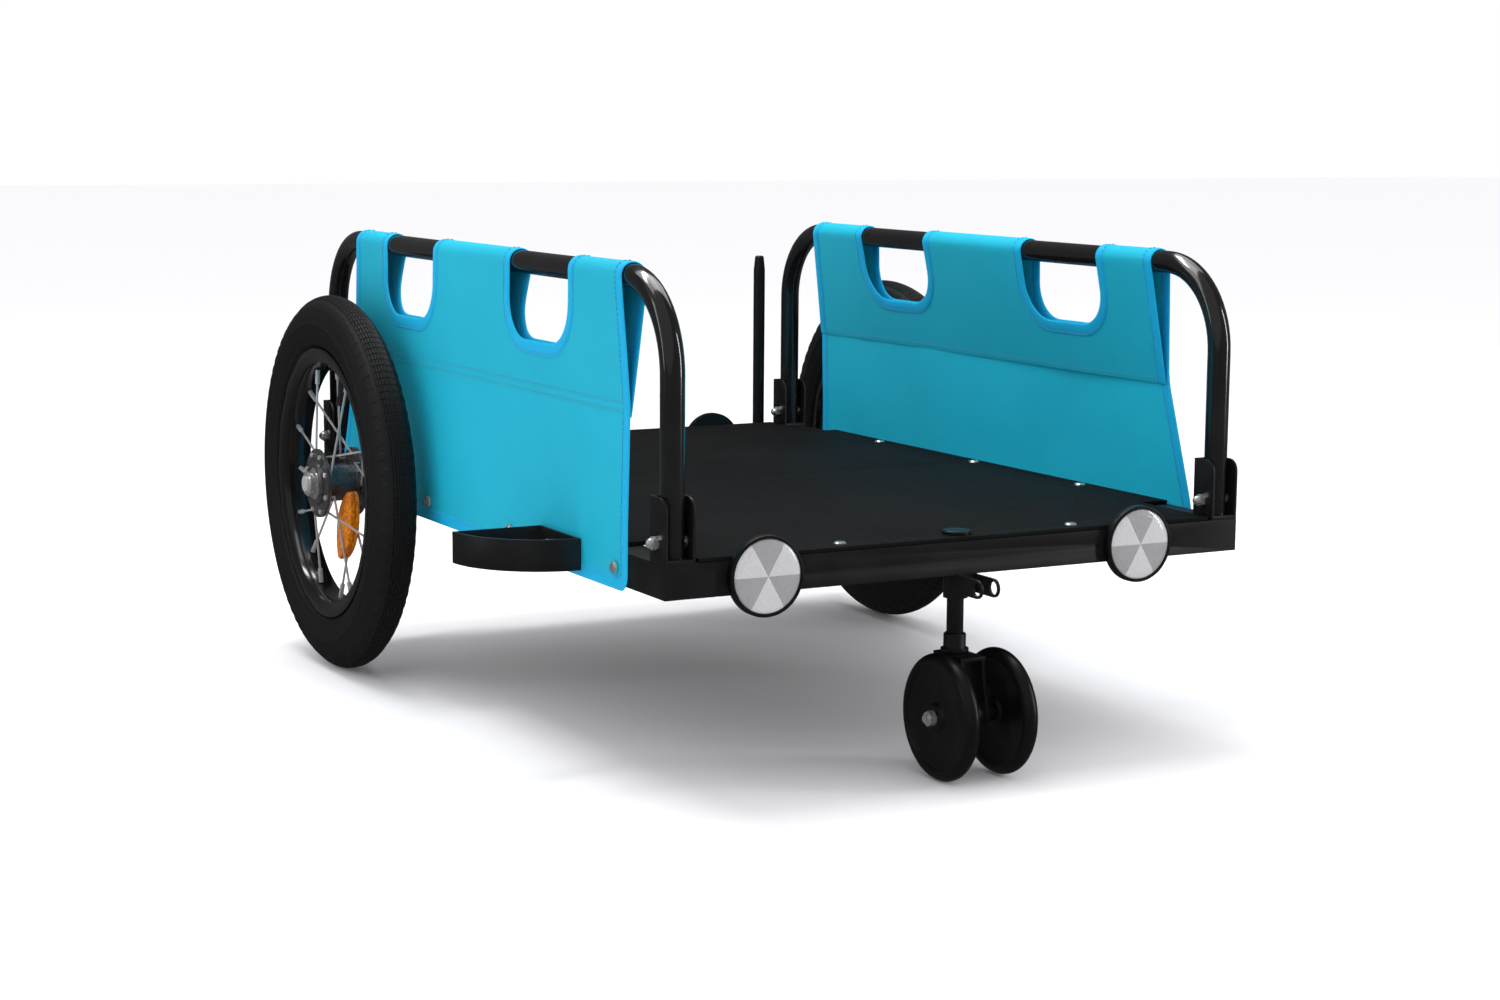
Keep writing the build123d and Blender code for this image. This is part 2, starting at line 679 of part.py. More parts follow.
def receivers():
    pieces = []
    outer_end = side_x + 4.0
    inner_end = side_x - receiver_inner_end
    body = rod_x(inner_end, outer_end, axle_y, axle_z, receiver_size / 2)
    body -= rod_x(inner_end - 1, outer_end + 1, axle_y, axle_z, axle_size / 2 + fit)
    ball_x = inner_end + 3.0 + 9.0
    body -= rod_x(ball_x - 2.4, ball_x + 2.4, axle_y, axle_z, axle_size / 2 + 1.2)
    pieces.append(body)
    pieces.append(mirror_x(body))
    save("axle_receivers", pieces)
    balls = []
    for way in (-1, 1):
        ball = Pos(ball_x, axle_y, axle_z + way * (release_rod / 2 + 2.05)) * Sphere(1.95)
        balls.append(ball)
        balls.append(mirror_x(ball))
    save("locking_balls", balls)


def main_wheels():
    for name, side in (("left", -1), ("right", 1)):
        x = side * wheel_x
        save(f"{name}_tyre", tyre(x))
        save(f"{name}_inner_tube", inner_tube(x))
        save(f"{name}_rim", rim(x))
        save(f"{name}_spokes", spokes(x, side))
        save(f"{name}_hub_shell", hub_shell(x))
        save(f"{name}_hub_bearings", hub_bearings(x))
        save(f"{name}_wheel_reflector", wheel_reflector(x))
        save(f"{name}_axle", axle(side))
        save(f"{name}_release_button", release_button(side))


# ---- round reflectors on the rails ---------------------------------------------------------
def reflector(x, y, z, way):
    """Cup-shaped housing with its mounting stud, and the lens pressed into it."""
    radius = reflector_size / 2
    y_back = y
    y_front = y + way * reflector_depth
    y0, y1 = sorted((y_back, y_front))
    body = rod_y(x, y0, y1, z, radius)
    outer = body.edges().group_by(Axis.Y)[0 if way < 0 else -1]
    body = fillet(outer, 1.2)
    pocket0, pocket1 = sorted((y_front - way * 4.0, y_front + way))
    body -= rod_y(x, pocket0, pocket1, z, radius - reflector_lip)
    stud0, stud1 = sorted((y - way * 6.0, y + way))
    body += rod_y(x, stud0, stud1, z, 2.0)
    lens_radius = radius - reflector_lip - fit
    lens0, lens1 = sorted((y_front - way * 3.9, y_front + way * 0.6))
    lens = rod_y(x, lens0, lens1, z, lens_radius)
    front_edge = lens.edges().group_by(Axis.Y)[0 if way < 0 else -1]
    lens = fillet(front_edge, 1.6)
    return body, lens


def reflectors():
    housings = []
    lenses = []
    for place in reflector_places():
        body, lens = reflector(*place)
        housings.append(body)
        lenses.append(lens)
    save("front_reflector_housings", housings[:2])
    save("rear_reflector_housings", housings[2:])
    save("front_reflector_lenses", lenses[:2])
    save("rear_reflector_lenses", lenses[2:])


# ---- caster --------------------------------------------------------------------------------
def caster_parts():
    housing_top = yoke_top + 0.2 + collar_length + housing_length
    collar_bottom = yoke_top + 0.2
    socket = rod_z(0, stem_y, rail_bottom - socket_length, rail_bottom, socket_size / 2)
    socket -= rod_z(0, stem_y, rail_bottom - socket_length - 1, rail_bottom + 1, stem_size / 2 + 0.1)
    save("caster_socket", socket)

    collar_top = collar_bottom + collar_length
    stem_bottom = collar_top + kingpin_head + 0.6
    stem = rod_z(0, stem_y, stem_bottom, board_top, stem_size / 2)
    stem -= rod_z(0, stem_y, stem_bottom - 1, board_top + 1, stem_size / 2 - stem_wall)
    save("caster_stem", stem)

    cap = Pos(0, stem_y, board_top + cap_height / 2) * Cylinder(cap_size / 2, cap_height)
    cap = fillet(cap.edges().group_by(Axis.Z)[-1], 1.0)
    plug = rod_z(0, stem_y, board_top - 8, board_top, stem_size / 2 - stem_wall - fit)
    save("stem_cap", cap + plug)

    housing = rod_z(0, stem_y, collar_top, housing_top, housing_size / 2)
    upper_lip = housing.edges().group_by(Axis.Z)[-1]
    housing = chamfer(upper_lip, 0.8)
    housing += rod_z(0, stem_y, collar_bottom, collar_top, collar_size / 2)
    housing -= rod_z(0, stem_y, collar_top, housing_top + 1, stem_size / 2 + fit)
    housing -= rod_z(0, stem_y, collar_bottom - 1, collar_top + 1, kingpin_size / 2 + fit)
    save("swivel_housing", housing)

    save("caster_yoke", caster_yoke())
    reach = caster_spread / 2 + caster_width / 2
    bolt = rod_x(-reach - 8.0, reach + 0.5, caster_y, caster_radius, caster_axle_size / 2)
    bolt += hexagon_x(reach + 0.5, reach + 4.5, caster_y, caster_radius, 10.0)
    save("caster_axle", bolt)
    nut = hexagon_x(-reach - 5.5, -reach - 0.5, caster_y, caster_radius, 10.0)
    save("caster_nut", nut - rod_x(-reach - 6, -reach, caster_y, caster_radius, caster_axle_size / 2 + fit))
    for name, side in (("left", -1), ("right", 1)):
        core, tread = caster_wheel(side)
        save(f"{name}_caster_wheel", core)
        save(f"{name}_caster_tyre", tread)


def caster_yoke():
    """Bent plate: a top plate under the swivel and two legs that reach forwards to the axle."""
    back = stem_y + 12.0
    front = stem_y - 25.0
    top = yoke_top
    bottom_radius = 11.0
    profile = make_face(Polyline((back, top), (back, top - 14), (caster_y + bottom_radius, caster_radius),
                                 (caster_y - bottom_radius, caster_radius), (front, top - 10), (front, top),
                                 close=True))
    profile += Pos(caster_y, caster_radius) * Circle(bottom_radius)
    slab = extrude(Plane.YZ * profile, yoke_half_width, both=True)
    inner = yoke_half_width - yoke_plate
    slab -= block(-inner, inner, front - 20, back + 20, 0, top - yoke_plate)
    neck_top = top + 0.2 + collar_length + 0.2
    slab += rod_z(0, stem_y, top - yoke_plate - 3.0, neck_top, kingpin_size / 2)
    slab += rod_z(0, stem_y, neck_top, neck_top + kingpin_head, stem_size / 2 - 0.4)
    slab += rod_z(0, stem_y, top - yoke_plate - 3.0, top - yoke_plate, 7.0)
    wheel_in = caster_spread / 2 - caster_width / 2 - 0.3
    for way in (-1, 1):
        x0, x1 = sorted((way * yoke_half_width, way * wheel_in))
        slab += rod_x(x0, x1, caster_y, caster_radius, 6.5)
    slab -= rod_x(-40, 40, caster_y, caster_radius, caster_axle_size / 2 + fit)
    return slab


def caster_wheel(side):
    half = caster_width / 2
    x = side * caster_spread / 2
    core_radius = caster_radius - 9.0
    centre = Pos(x, caster_y, caster_radius)

    def turned(points, arcs=()):
        edges = []
        for i, start in enumerate(points):
            end = points[(i + 1) % len(points)]
            edges.append(ThreePointArc(start, dict(arcs)[i], end) if i in dict(arcs) else Line(start, end))
        return centre * revolve(make_face(edges), Axis((0, 0, 0), (1, 0, 0)), 360)

    bore = caster_axle_size / 2 + fit
    core = turned([(-half, bore), (-half, 9.0), (-half + 2.5, 11.0), (-half + 2.5, core_radius - 3),
                   (-half + 1.0, core_radius), (half - 1.0, core_radius), (half - 2.5, core_radius - 3),
                   (half - 2.5, 11.0), (half, 9.0), (half, bore)])
    tread = turned([(-half + 1.0, core_radius), (-half, core_radius + 2.0), (-half, caster_radius - 5),
                    (half, caster_radius - 5), (half, core_radius + 2.0), (half - 1.0, core_radius)],
                   [(2, (0, caster_radius))])
    return core, tread


# ---- hitch and mast ------------------------------------------------------------------------
def hitch_clevis():
    bore_y = front_y - clevis_reach
    half = clevis_gap / 2 + clevis_plate
    z1 = rail_bottom
    z0 = rail_bottom - clevis_height
    nose = clevis_height / 2
    back = stem_y - 2.0
    ear = make_face(Polyline((back, z0), (back, z1), (bore_y, z1), (bore_y, z0), close=True))
    ear += Pos(bore_y, (z0 + z1) / 2) * Circle(nose)
    ear -= Pos(bore_y, (z0 + z1) / 2) * Circle(clevis_bore / 2)
    slab = extrude(Plane.YZ * ear, half, both=True)
    slab -= block(-clevis_gap / 2, clevis_gap / 2, bore_y - 20, front_y + 1.0, z0 - 1, z1 + 1)
    slab -= rod_z(0, stem_y, z0 - 1, z1 + 1, socket_size / 2 + fit)
    save("hitch_clevis", one_solid(slab))


def flag_mast():
    y = rear_y + mast_gap + mast_size / 2
    straight = mast_top - 14.0
    mast = rod_z(mast_across, y, mast_bottom, straight, mast_size / 2)
    mast += Pos(mast_across, y, straight + 7.0) * Cone(mast_size / 2, mast_size / 2 - 1.4, 14.0)
    mast = fillet(mast.edges().group_by(Axis.Z)[-1], 2.0)
    save("flag_mast", mast)
    clips = []
    for z in (rail_bottom + 1.0, rail_top - clip_height - 1.0):
        outer = rod_z(mast_across, y, z, z + clip_height, mast_size / 2 + clip_wall)
        outer &= block(mast_across - 20, mast_across + 20, rear_y, y + 20, z, z + clip_height)
        tab = block(mast_across - 18, mast_across + 18, rear_y, rear_y + clip_wall - 0.1, z, z + clip_height)
        clip = outer + tab - rod_z(mast_across, y, z - 1, z + clip_height + 1, mast_size / 2 + fit)
        for way in (-1, 1):
            clip += rod_y(mast_across + way * 13.0, rear_y + clip_wall - 0.2, rear_y + clip_wall + 2.0,
                          z + clip_height / 2, 3.0)
        clips.append(clip)
    save("mast_clips", clips)


frame_parts()
deck_board()
deck_screws()
brackets()
hoops()
hoop_fasteners()
panels()
panel_bolts()
guards()
receivers()
main_wheels()
reflectors()
caster_parts()
hitch_clevis()
flag_mast()
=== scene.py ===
import json
import math

import bpy
from mathutils import Matrix, Vector, noise


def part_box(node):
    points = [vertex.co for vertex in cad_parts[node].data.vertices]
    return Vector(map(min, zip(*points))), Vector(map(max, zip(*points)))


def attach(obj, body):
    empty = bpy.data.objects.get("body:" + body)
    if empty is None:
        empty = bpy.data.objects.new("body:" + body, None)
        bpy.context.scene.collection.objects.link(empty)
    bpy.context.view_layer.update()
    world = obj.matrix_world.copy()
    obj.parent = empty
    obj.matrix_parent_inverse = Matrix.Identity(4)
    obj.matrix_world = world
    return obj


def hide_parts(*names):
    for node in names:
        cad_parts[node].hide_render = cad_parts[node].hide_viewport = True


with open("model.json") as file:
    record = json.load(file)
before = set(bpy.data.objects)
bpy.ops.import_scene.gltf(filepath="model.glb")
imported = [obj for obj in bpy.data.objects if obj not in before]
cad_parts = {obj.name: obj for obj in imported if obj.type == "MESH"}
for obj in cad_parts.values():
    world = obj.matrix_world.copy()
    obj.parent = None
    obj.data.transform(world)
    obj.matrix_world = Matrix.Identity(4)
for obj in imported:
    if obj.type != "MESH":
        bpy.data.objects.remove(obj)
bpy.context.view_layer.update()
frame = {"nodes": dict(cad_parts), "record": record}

# ---------------------------------------------------------------------------------------------
# Deck frame: rails and cross beams of square steel tube, mitred and welded, with bent channel
# brackets, wheel guards, the hitch clevis and the caster's fork. All of it is sprayed with one
# black powder coat, which leaves a fine orange peel and rounds every edge a little.
# ---------------------------------------------------------------------------------------------


class Value:
    """A number, colour or direction that varies over a surface; sums on it add Math nodes."""

    def __init__(self, finish, socket):
        self.finish = finish
        self.socket = socket

    def math(self, operation, *others):
        return self.finish.node("Math", {"operation": operation}, dict(enumerate((self, *others))))

    def __add__(self, other):
        return self.math("ADD", other)

    def __sub__(self, other):
        return self.math("SUBTRACT", other)

    def __rsub__(self, other):
        return self.finish.node("Math", {"operation": "SUBTRACT"}, {0: other, 1: self})

    def __mul__(self, other):
        return self.math("MULTIPLY", other)

    __radd__ = __add__
    __rmul__ = __mul__


class Finish:
    """One surface finish: a Principled shader whose fixed values are given by name."""

    def __init__(self, name, **fixed):
        self.material = bpy.data.materials.new(name)
        self.material.use_nodes = True
        self.tree = self.material.node_tree
        self.shader = self.tree.nodes["Principled BSDF"]
        for argument, value in fixed.items():
            socket = argument.replace("_", " ").title().replace("Ior", "IOR")
            self.shader.inputs[socket].default_value = value

    def node(self, kind, settings=None, inputs=None, output=0):
        made = self.tree.nodes.new("ShaderNode" + kind)
        for name, value in (settings or {}).items():
            setattr(made, name, value)
        for name, value in (inputs or {}).items():
            if isinstance(value, Value):
                self.tree.links.new(value.socket, made.inputs[name])
            else:
                made.inputs[name].default_value = value
        return Value(self, made.outputs[output])

    def place(self):
        return self.node("TexCoord", output="Object")

    def cloth_place(self):
        return self.node("UVMap", {"uv_map": "weave"})

    def axis(self, place, name):
        return self.node("SeparateXYZ", inputs={0: place}, output=name)

    def noise(self, scale, detail=3.0, place=None):
        """Cloudy pattern from 0 to 1, with scale in lumps to the metre."""
        inputs = {"Vector": place or self.place(), "Scale": scale, "Detail": detail,
                  "Roughness": 0.55}
        return self.node("TexNoise", inputs=inputs)

    def span(self, value, low, high, to_low=0.0, to_high=1.0):
        inputs = {0: value, 1: low, 2: high, 3: to_low, 4: to_high}
        return self.node("MapRange", {"clamp": True}, inputs)

    def blend(self, mask, low, high):
        """Mix of two colours: low where mask is 0 and high where it is 1."""
        return self.node("Mix", {"data_type": "RGBA"}, {0: mask, 6: low, 7: high}, 2)

    def set(self, socket, value):
        self.tree.links.new(value.socket, self.shader.inputs[socket])

    def colour(self, mask, low, high):
        """Base colour that runs from low to high with the mask."""
        self.set("Base Color", self.blend(mask, low, high))

    def relief(self, height, depth):
        """Bump of the given depth in metres from a height pattern of about 0 to 1."""
        inputs = {"Height": height, "Distance": depth, "Strength": 1.0}
        self.set("Normal", self.node("Bump", inputs=inputs))


def grey(level):
    """Neutral colour with a trace of blue in it."""
    return (level, level, level * 1.03, 1.0)


def take_finish(piece, finish):
    piece.data.materials.clear()
    piece.data.materials.append(finish.material)


def placed(name, data):
    """A new object in the scene that shows the given data, at the origin."""
    made = bpy.data.objects.new(name, data)
    bpy.context.scene.collection.objects.link(made)
    return made


def clear_selection():
    if bpy.context.mode != "OBJECT":
        bpy.ops.object.mode_set(mode="OBJECT")
    bpy.ops.object.select_all(action="DESELECT")


def only(piece):
    """Selects one piece and nothing else, and makes it active."""
    clear_selection()
    piece.select_set(True)
    bpy.context.view_layer.objects.active = piece


def body_of_node(node):
    bodies = frame["record"]["behaviour"]["bodies"]
    return next(body for body, members in bodies.items() if node in members)


def slot_of_node(node):
    parts = frame["record"]["subparts"]
    return next(part["material_slot"] for part in parts if part["node"] == node)


def finished_copy(node, finish, edge=0.0, steps=2, crease=35.0):
    """A CAD piece with its outside edges rounded by edge, shown in place of the plain one."""
    source = frame["nodes"][node]
    piece = placed(node + "_finished", source.data.copy())
    only(piece)
    bpy.ops.object.mode_set(mode="EDIT")
    bpy.ops.mesh.select_all(action="SELECT")
    bpy.ops.mesh.customdata_custom_splitnormals_clear()
    bpy.ops.mesh.remove_doubles(threshold=2e-6)
    if edge:
        bpy.ops.mesh.dissolve_limited(angle_limit=math.radians(0.6))
    bpy.ops.object.mode_set(mode="OBJECT")
    if edge:
        rounding = piece.modifiers.new("rounding", "BEVEL")
        rounding.width = edge
        rounding.segments = steps
        rounding.limit_method = "ANGLE"
        rounding.angle_limit = math.radians(40)
        rounding.use_clamp_overlap = True
        rounding.harden_normals = False
        bpy.ops.object.modifier_apply(modifier="rounding")
    bpy.ops.object.shade_smooth_by_angle(angle=math.radians(crease))
    take_finish(piece, finish)
    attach(piece, body_of_node(node))
    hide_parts(node)
    slot_of_node(node)
    return piece


powder_coat = Finish("black_powder_coat", roughness=0.42, specular_ior_level=0.4)
handled = powder_coat.span(powder_coat.noise(26.0, 4.0), 0.42, 0.72)
powder_coat.colour(handled, grey(0.0048), grey(0.0078))
powder_coat.set("Roughness", powder_coat.noise(45.0, 3.0) * 0.14 + 0.36)
powder_coat.relief(powder_coat.noise(1300.0, 2.0), 0.00005)

for node in ("front_rail", "rear_rail", "left_rail", "right_rail", "axle_beam", "middle_beam"):
    finished_copy(node, powder_coat, 0.0009)
for corner in ("front_left", "front_right", "rear_left", "rear_right"):
    finished_copy(corner + "_bracket", powder_coat, 0.0005)
for node in ("left_wheel_guard", "right_wheel_guard"):
    finished_copy(node, powder_coat, 0.0005, crease=30.0)
finished_copy("hitch_clevis", powder_coat, 0.0005)
finished_copy("mast_clips", powder_coat, 0.0003)
for node in ("caster_socket", "caster_stem", "swivel_housing"):
    finished_copy(node, powder_coat, 0.0003)
finished_copy("caster_yoke", powder_coat, 0.0005)

# ---------------------------------------------------------------------------------------------
# Deck board: one sheet of charcoal plastic with a fine leather-like grain and a softened edge,
# screwed down on the rails. It is cut out round the four brackets.
# ---------------------------------------------------------------------------------------------

board_skin = Finish("charcoal_board", roughness=0.8, specular_ior_level=0.08)
worn = board_skin.span(board_skin.noise(9.0, 5.0), 0.35, 0.75)
board_skin.colour(worn, grey(0.0042), grey(0.0064))
stretched = board_skin.node("Mapping", inputs={"Vector": board_skin.place(),
                                               "Scale": (260.0, 7.0, 1.0)})
scuffs = board_skin.node("TexNoise", inputs={"Vector": stretched, "Scale": 1.0, "Detail": 2.0})
board_skin.set("Roughness", board_skin.span(scuffs, 0.3, 0.8, 0.72, 0.80))
board_skin.relief(board_skin.noise(900.0, 4.0), 0.00009)
finished_copy("deck_board", board_skin, 0.0007)

# ---------------------------------------------------------------------------------------------
# Screws, bolts, nuts and axles: zinc-plated steel, slightly clouded by handling.
# ---------------------------------------------------------------------------------------------

zinc = Finish("zinc_plate", roughness=0.3, metallic=0.85)
clouded = zinc.noise(240.0, 4.0)
zinc.colour(clouded, (0.50, 0.50, 0.49, 1.0), (0.88, 0.88, 0.86, 1.0))
zinc.set("Roughness", clouded * 0.16 + 0.12)
for node in ("deck_screws", "hoop_bolts", "hoop_nuts", "panel_bolts", "locking_balls",
             "axle_receivers", "left_axle", "right_axle", "caster_axle", "caster_nut",
             "left_hub_bearings", "right_hub_bearings"):
    finished_copy(node, zinc)

# ---------------------------------------------------------------------------------------------
# Hoops: round steel tube bent at the two top corners, in a smooth gloss black coat, each leg
# standing in its channel bracket with one bolt through it.
# ---------------------------------------------------------------------------------------------

gloss_coat = Finish("gloss_black_tube", roughness=0.22, coat_weight=0.8, coat_roughness=0.08)
rubbed = gloss_coat.span(gloss_coat.noise(30.0, 5.0), 0.45, 0.8)
gloss_coat.colour(rubbed, grey(0.005), grey(0.008))
gloss_coat.set("Roughness", gloss_coat.noise(60.0, 4.0) * 0.10 + 0.11)
gloss_coat.relief(gloss_coat.noise(700.0, 2.0), 0.00002)
for node in ("left_hoop", "right_hoop"):
    finished_copy(node, gloss_coat, crease=50.0)

# ---------------------------------------------------------------------------------------------
# Cloth sides: coated Oxford cloth hung over the hoop's bar. It runs up outside the rail, over
# the bar, and down the inside, where the turned-over part is sewn down with two rows. Two hand
# holes on each side and all outer edges are bound in a brighter tape.
# ---------------------------------------------------------------------------------------------

side_name = {1: "right", -1: "left"}
cloth_thickness = 0.0009
tape_thickness = 0.0016
tape_width = 0.010
stitch_inset = tape_width - 0.0016
seam_height = 0.2675
row_gap = 0.006
flap_hem = 0.003
flap_gap = 0.00125
hem_row = 0.0035
rail_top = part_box("right_rail")[1].z
rail_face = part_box("right_rail")[1].x
deck_middle = (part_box("front_rail")[0].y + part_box("rear_rail")[1].y) / 2
hoop_low, hoop_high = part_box("right_hoop")
tube_radius = (hoop_high.x - hoop_low.x) / 2
bar_x = (hoop_high.x + hoop_low.x) / 2
bar_z = hoop_high.z - tube_radius
cloth_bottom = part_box("right_panel")[0].z
cloth_half_length = 0.285
straight_half_length = 0.254
slanted_half_length = 0.267
hole_near = 0.076
hole_far = 0.182
hole_bottom = 0.304
hole_corner = 0.031
hem_corner = 0.012

clearance = 0.0009
run_x = rail_face + clearance
wrap = tube_radius + clearance
lean_start = rail_top + 0.010
bar_steps = 24
section = [Vector((run_x, cloth_bottom)), Vector((run_x, lean_start)),
           Vector((bar_x + wrap, bar_z))]
for step in range(1, bar_steps):
    turn = math.pi * step / bar_steps
    section.append(Vector((bar_x + wrap * math.cos(turn), bar_z + wrap * math.sin(turn))))
section.append(Vector((bar_x - wrap, bar_z)))
flap_end_z = seam_height - flap_hem
lean = (bar_x + wrap - run_x) / (bar_z - lean_start)
section.append(Vector((run_x + lean * (flap_end_z - lean_start) - flap_gap, flap_end_z)))
lengths = [0.0]
for start, end in zip(section, section[1:]):
    lengths.append(lengths[-1] + (end - start).length)
cloth_length = lengths[-1]
over_bar = lengths[2] + math.pi * wrap / 2


def outer_run(z):
    """How far up the cut cloth a height on its outer face lies."""
    if z < lean_start:
        return z - cloth_bottom
    return lengths[1] + (z - lean_start) * math.hypot(1, lean)


def inner_run(z):
    """How far up the cut cloth a height on its turned-over part lies."""
    slope = (section[-1] - section[-2]).length / (section[-2].y - section[-1].y)
    return lengths[-2] + (bar_z - z) * slope


def fold(side, y, s, h):
    """Place in the cart of a point of the flat cloth.

    y runs along it, s up and over it, and h is the height above its middle, outwards.
    """
    s = min(max(s, 0.0), cloth_length)
    leg = max(i for i in range(len(section) - 1) if lengths[i] <= s + 1e-9)
    share = (s - lengths[leg]) / (lengths[leg + 1] - lengths[leg])
    here = section[leg].lerp(section[leg + 1], share)
    along = (section[leg + 1] - section[leg]).normalized()
    out = Vector((along.y, -along.x))
    if lengths[2] <= s <= lengths[-2]:
        out = (here - Vector((bar_x, bar_z))).normalized()
    here = here + out * h
    return Vector((side * here.x, deck_middle + y, here.y))


def through(points, value):
    """Straight-line reading between (position, result) points."""
    for (a, low), (b, high) in zip(points, points[1:]):
        if value <= b:
            return low + (high - low) * max(0.0, (value - a) / (b - a))
    return points[-1][1]


def end_of_cloth(s, slanted):
    """Half length of the cloth at s: one end slants above the seam, and the other below it."""
    if slanted:
        stops = [(0.0, cloth_half_length), (outer_run(seam_height + row_gap), cloth_half_length),
                 (over_bar, slanted_half_length), (cloth_length, cloth_half_length)]
    else:
        stops = [(0.0, cloth_half_length), (outer_run(rail_top), cloth_half_length),
                 (outer_run(seam_height), straight_half_length),
                 (cloth_length, straight_half_length - 0.002)]
    shifts = (-0.008, -0.004, 0.0, 0.004, 0.008)
    soft = sum(through(stops, s + shift) for shift in shifts) / len(shifts)
    if s < hem_corner:
        soft -= hem_corner - math.sqrt(max(0.0, hem_corner ** 2 - (hem_corner - s) ** 2))
    return soft


slack = 0.0013
pucker = 0.00016
dimple = 0.00022
bolt_places = (-0.267, -0.083, 0.083, 0.267)
bolt_drop = 0.012


def billow(side, y, s):
    """How far the hung cloth stands off its straight line.

    It is slack between the bolts, puckered at the seam and drawn in under each bolt's head.
    """
    above = min(1.0, max(0.0, (s - outer_run(rail_top)) / 0.03))
    on_bar = min(1.0, abs(s - over_bar) / 0.03)
    wave = noise.noise(Vector((y * 7.0 + side * 3.1, s * 5.0, 1.7 + side)))
    wave += 0.45 * noise.noise(Vector((y * 19.0, s * 9.0, 5.2 + side)))
    off = slack * wave * above * on_bar
    seam = abs(s - outer_run(seam_height + row_gap / 2))
    ripple = math.sin(y * 640.0 + 2.0 * math.sin(y * 90.0))
    off += pucker * ripple * math.exp(-(seam / 0.009) ** 2)
    for row in (0.0, row_gap):
        off -= pucker * math.exp(-((s - outer_run(seam_height + row)) / 0.0011) ** 2)
    for bolt in bolt_places:
        reach = math.hypot(y - bolt, s - (rail_top - bolt_drop - cloth_bottom))
        off -= dimple * math.exp(-(reach / 0.011) ** 2)
    return off


def loose_mesh(name, points, faces):
    mesh = bpy.data.meshes.new(name)
    mesh.from_pydata(points, [], faces)
    return placed(name, mesh)


def face_outward(piece):
    """Turns every face of a closed piece outwards."""
    only(piece)
    bpy.ops.object.mode_set(mode="EDIT")
    bpy.ops.mesh.select_all(action="SELECT")
    bpy.ops.mesh.normals_make_consistent(inside=False)
    bpy.ops.object.mode_set(mode="OBJECT")


def lay_weave(piece, places):
    """Gives each vertex its place on the flat cloth, for the weave to follow."""
    weave = piece.data.uv_layers.new(name="weave")
    for loop in piece.data.loops:
        weave.data[loop.index].uv = places[loop.vertex_index]


def hole_outline(grow=0.0):
    """Rounded outline of one hand hole in the flat cloth, from its middle."""
    half_y = (hole_far - hole_near) / 2 + grow
    low = outer_run(hole_bottom) - grow
    high = inner_run(hole_bottom) + grow
    radius = hole_corner + grow
    middle = (low + high) / 2
    half_s = (high - low) / 2
    points = []
    for corner, (cy, cs) in enumerate(((1, 1), (-1, 1), (-1, -1), (1, -1))):
        for step in range(13):
            turn = math.radians(corner * 90 + step * 7.5)
            points.append((cy * (half_y - radius) + radius * math.cos(turn),
                           middle + cs * (half_s - radius) + radius * math.sin(turn)))
    return points


def make_cloth(side, slanted_end):
    """The cut cloth: a thin slab laid flat, both hand holes cut out, then hung on the cart."""
    columns = 116
    level_gap = 0.005
    bar_levels = 16
    flap_levels = 20
    bar_start, bar_end = lengths[2], lengths[-2]
    levels = sorted(set(
        [i * level_gap for i in range(int(bar_start / level_gap) + 1)]
        + [bar_start + i * (bar_end - bar_start) / bar_levels for i in range(bar_levels + 1)]
        + [bar_end + i * (cloth_length - bar_end) / flap_levels for i in range(flap_levels + 1)]
        + [outer_run(seam_height + row) + step
           for row in (0.0, row_gap) for step in (-0.0016, 0.0, 0.0016)]
        + [outer_run(rail_top), 0.0015, 0.003]))
    points = []
    for h in (cloth_thickness / 2, -cloth_thickness / 2):
        for s in levels:
            front = end_of_cloth(s, slanted_end < 0)
            rear = end_of_cloth(s, slanted_end > 0)
            points.extend((-front + (front + rear) * i / columns, s, h)
                          for i in range(columns + 1))
    row = columns + 1
    sheet = row * len(levels)
    faces = []
    for j in range(len(levels) - 1):
        for i in range(columns):
            a = j * row + i
            faces.append((a, a + 1, a + row + 1, a + row))
            faces.append((a + sheet, a + sheet + row, a + sheet + row + 1, a + sheet + 1))
        left, right = j * row, j * row + columns
        faces.append((left + row, left + row + sheet, left + sheet, left))
        faces.append((right, right + sheet, right + row + sheet, right + row))
    top = (len(levels) - 1) * row
    for i in range(columns):
        faces.append((i + 1, i, i + sheet, i + 1 + sheet))
        faces.append((top + i, top + i + 1, top + i + 1 + sheet, top + i + sheet))
    piece = loose_mesh(side_name[side] + "_cloth", points, faces)
    outline = hole_outline()
    count = len(outline)
    for way in (-1, 1):
        middle = way * (hole_near + hole_far) / 2
        ring = [(middle + y, s, h) for h in (0.01, -0.01) for y, s in outline]
        walls = [(i, (i + 1) % count, (i + 1) % count + count, i + count) for i in range(count)]
        caps = [tuple(range(count))[::-1], tuple(range(count, 2 * count))]
        cutter = loose_mesh("cutter", ring, walls + caps)
        face_outward(cutter)
        only(piece)
        cut = piece.modifiers.new("hole", "BOOLEAN")
        cut.operation = "DIFFERENCE"
        cut.solver = "EXACT"
        cut.object = cutter
        bpy.ops.object.modifier_apply(modifier="hole")
        bpy.data.objects.remove(cutter)
    area = sum(face.area for face in piece.data.polygons if abs(face.normal.z) > 0.9) / 2
    lay_weave(piece, [vertex.co.xy for vertex in piece.data.vertices])
    for vertex in piece.data.vertices:
        y, s, h = vertex.co
        vertex.co = fold(side, y, s, h + billow(side, y, s))
    if side < 0:
        piece.data.flip_normals()
    only(piece)
    bpy.ops.object.shade_smooth_by_angle(angle=math.radians(50))
    return piece, area


